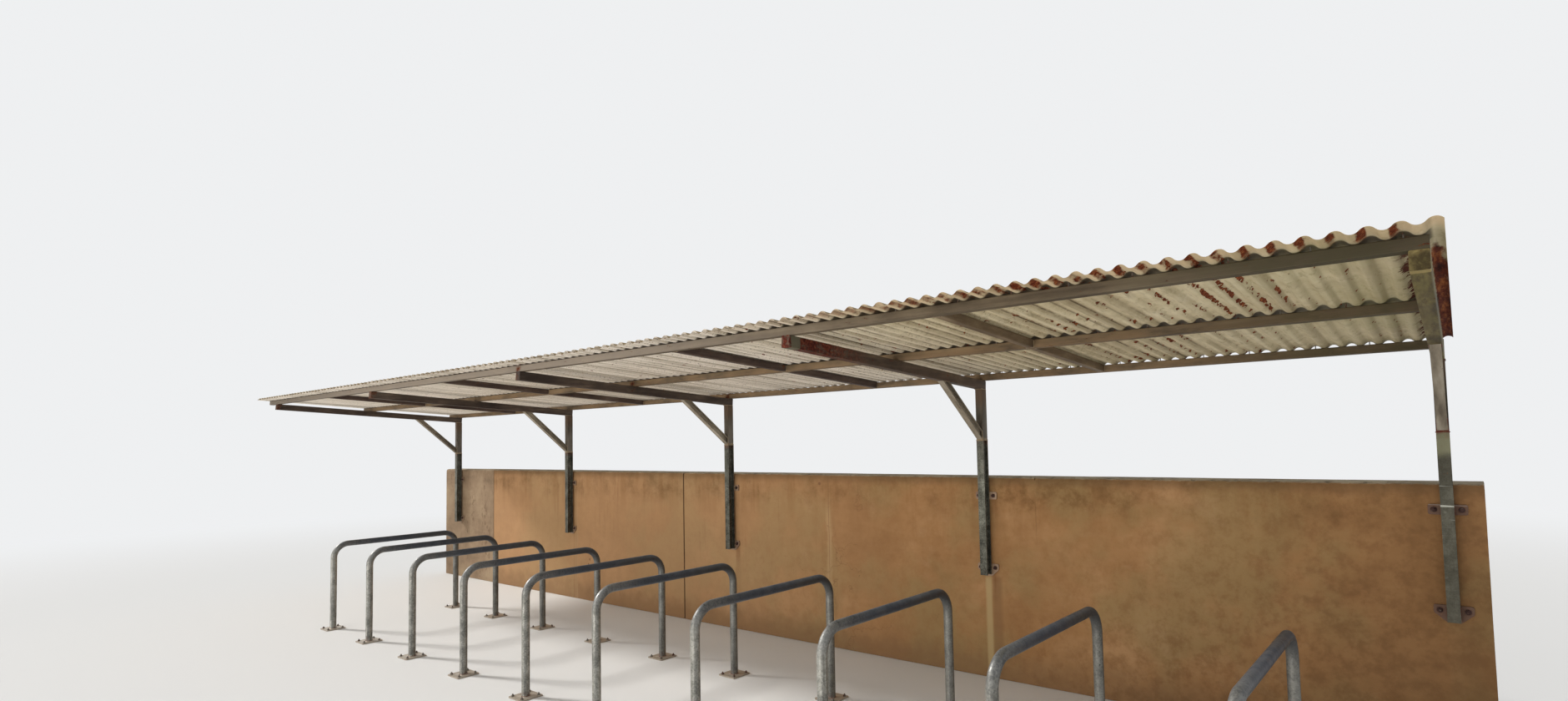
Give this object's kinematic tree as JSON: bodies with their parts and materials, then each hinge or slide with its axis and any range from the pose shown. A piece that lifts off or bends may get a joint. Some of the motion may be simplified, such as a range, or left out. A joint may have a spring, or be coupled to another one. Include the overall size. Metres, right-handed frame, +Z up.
{
  "type": "bike shelter",
  "caption": "Open bike shelter: a corrugated steel lean-to roof on posts bolted to a low concrete wall, with a row of tube hoops under it.",
  "frame": {"origin": "centre of the footprint at ground level", "axes": "+X along the wall, +Y from the open front to the wall, +Z up"},
  "size_m": [10.14, 2.243, 2.1201],
  "materials": {
    "wall_concrete": "matt paint, stained",
    "galvanised_steel": "dull weathered zinc",
    "frame_paint": "worn brown-grey coat with rust",
    "roof_sheet": "weathered pale coat with rust"
  },
  "bodies": {
    "root": {"wall_panel_1": "wall_concrete", "wall_panel_2": "wall_concrete", "wall_panel_3": "wall_concrete", "wall_panel_4": "wall_concrete", "wall_post_1": "galvanised_steel", "post_head_1": "frame_paint", "roof_arm_1": "frame_paint", "arm_brace_1": "frame_paint", "wall_post_2": "galvanised_steel", "post_head_2": "frame_paint", "roof_arm_2": "frame_paint", "arm_brace_2": "frame_paint", "wall_post_3": "galvanised_steel", "post_head_3": "frame_paint", "roof_arm_3": "frame_paint", "arm_brace_3": "frame_paint", "wall_post_4": "galvanised_steel", "post_head_4": "frame_paint", "roof_arm_4": "frame_paint", "arm_brace_4": "frame_paint", "wall_post_5": "galvanised_steel", "post_head_5": "frame_paint", "roof_arm_5": "frame_paint", "arm_brace_5": "frame_paint", "front_purlin": "frame_paint", "middle_purlin": "frame_paint", "back_purlin": "frame_paint", "rafter_1": "frame_paint", "rafter_2": "frame_paint", "rafter_3": "frame_paint", "rafter_4": "frame_paint", "roof_sheet_01": "roof_sheet", "roof_sheet_02": "roof_sheet", "roof_sheet_03": "roof_sheet", "roof_sheet_04": "roof_sheet", "roof_sheet_05": "roof_sheet", "roof_sheet_06": "roof_sheet", "roof_sheet_07": "roof_sheet", "roof_sheet_08": "roof_sheet", "roof_sheet_09": "roof_sheet", "roof_sheet_10": "roof_sheet", "bike_hoop_01": "galvanised_steel", "bike_hoop_02": "galvanised_steel", "bike_hoop_03": "galvanised_steel", "bike_hoop_04": "galvanised_steel", "bike_hoop_05": "galvanised_steel", "bike_hoop_06": "galvanised_steel", "bike_hoop_07": "galvanised_steel", "bike_hoop_08": "galvanised_steel", "bike_hoop_09": "galvanised_steel", "bike_hoop_10": "galvanised_steel"}
  },
  "joints": []
}
